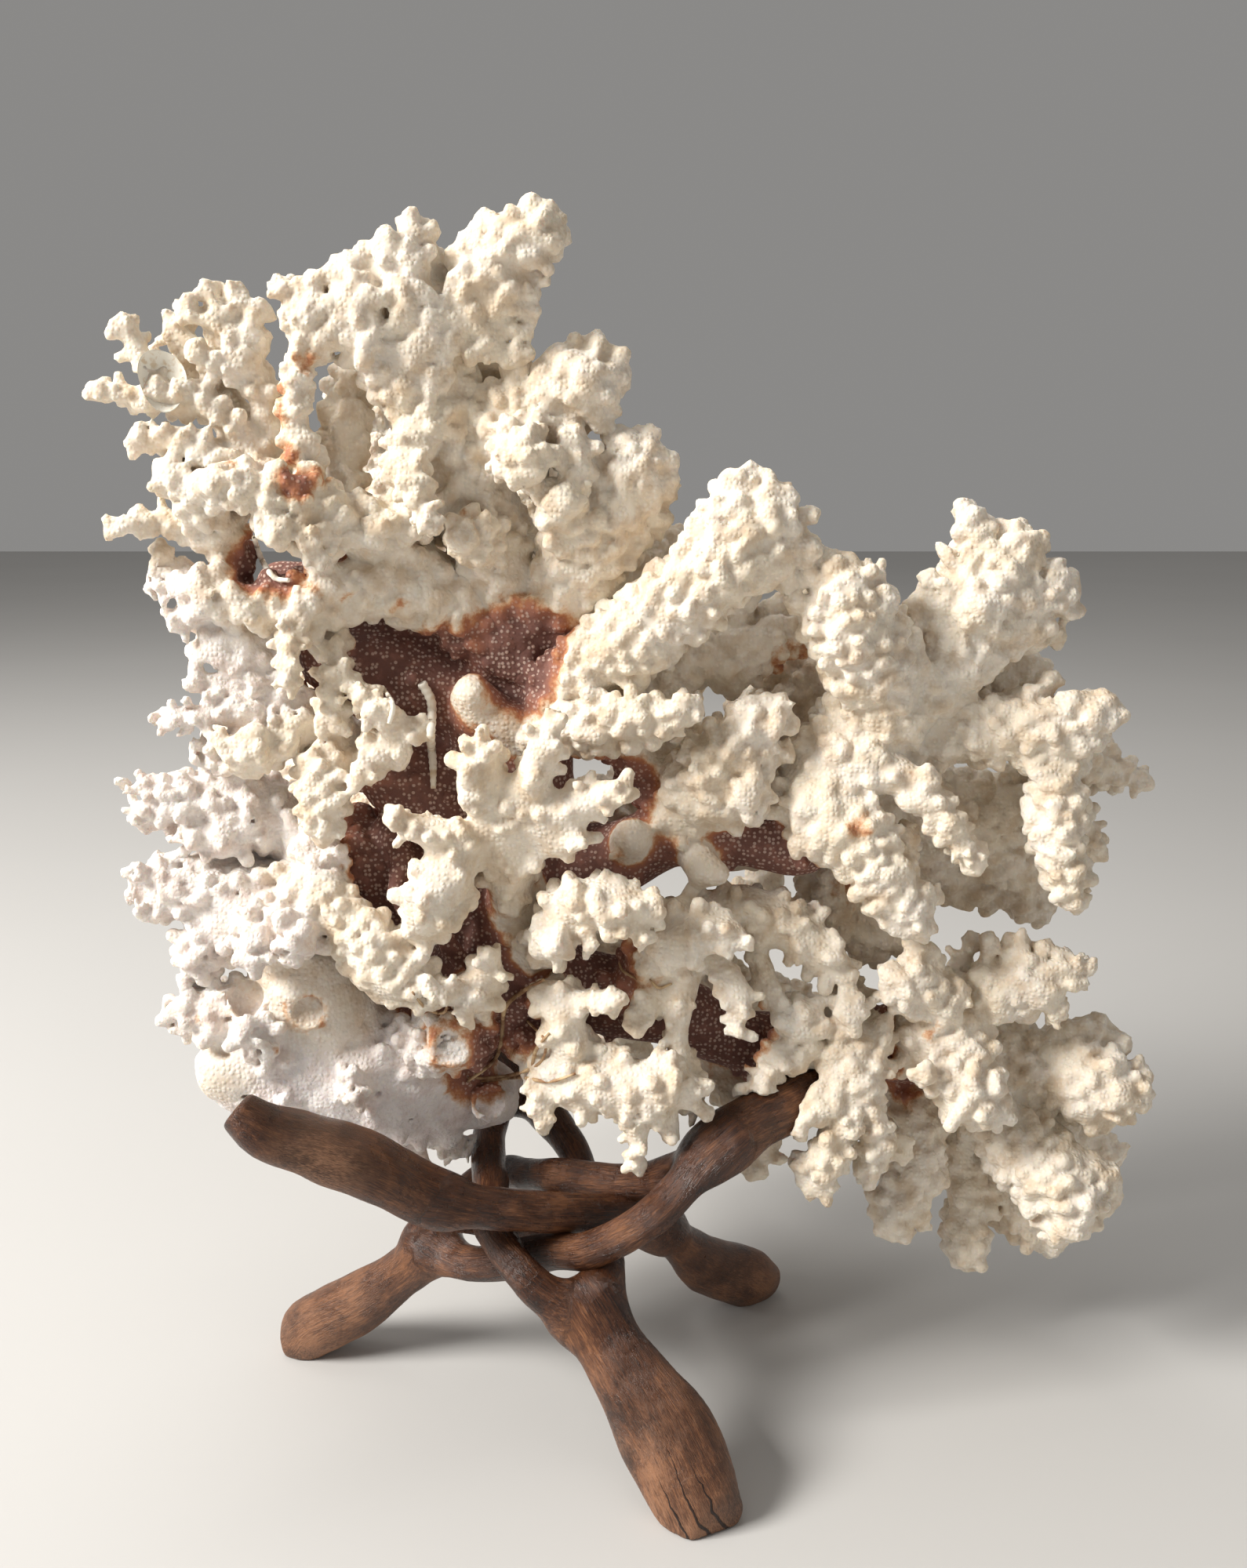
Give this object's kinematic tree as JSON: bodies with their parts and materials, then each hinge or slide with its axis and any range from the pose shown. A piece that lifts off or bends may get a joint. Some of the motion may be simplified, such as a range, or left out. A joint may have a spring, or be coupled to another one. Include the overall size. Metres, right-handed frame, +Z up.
{
  "type": "branching coral on a carved wooden stand",
  "caption": "Branching stony coral with knobbly cream branches on dark stained stems and a chalky base, resting on a stand of interlocking carved wooden legs.",
  "frame": {"origin": "centre of the whole object's box on the surface that the stand rests on", "axes": "+Z up, -Y towards the front of the colony, +X to its right seen from the front"},
  "size_m": [0.2292, 0.1216, 0.2632],
  "materials": {
    "waxed_wood": "dark carved hardwood, waxed and rubbed on the arms, brushed and lighter on the feet",
    "cream_coral": "cream-white coral skeleton, fine-pored and covered in small rounded knobs",
    "chalk_base": "bleached chalky coral skeleton, rough and pitted with mauve-grey shading",
    "stained_stem": "brown-red stained coral stem dotted with pale cups"
  },
  "bodies": {
    "root": {"stand_leg_front": "waxed_wood", "stand_leg_left": "waxed_wood", "stand_leg_right": "waxed_wood", "trunk": "stained_stem", "holdfast": "chalk_base", "lower_stem": "stained_stem", "right_stem": "stained_stem", "crown": "cream_coral", "left_lower_fan": "chalk_base", "left_middle_fan": "chalk_base", "left_upper_fan": "chalk_base", "upper_left_bough": "cream_coral", "upper_left_fork": "cream_coral", "crown_right_bough": "cream_coral", "upper_right_bough": "cream_coral", "middle_right_bough": "cream_coral", "underside_bough": "cream_coral", "right_crown": "cream_coral", "right_arm": "cream_coral", "right_lower_fingers": "cream_coral", "right_back_bough": "cream_coral", "back_plate": "cream_coral", "front_fork": "cream_coral", "star_finger": "cream_coral", "front_middle_bough": "cream_coral", "front_right_bough": "cream_coral", "middle_lower_bough": "cream_coral", "knob_fingers": "cream_coral", "lower_front_bough": "cream_coral", "lower_middle_fingers": "cream_coral", "lower_back_finger": "cream_coral", "right_fork": "cream_coral", "far_right_fan": "cream_coral", "lower_right_spray": "cream_coral", "drop_branches": "cream_coral", "back_upper_bough": "cream_coral", "back_left_bough": "cream_coral", "back_right_bough": "cream_coral", "back_lower_bough": "cream_coral"}
  },
  "joints": []
}
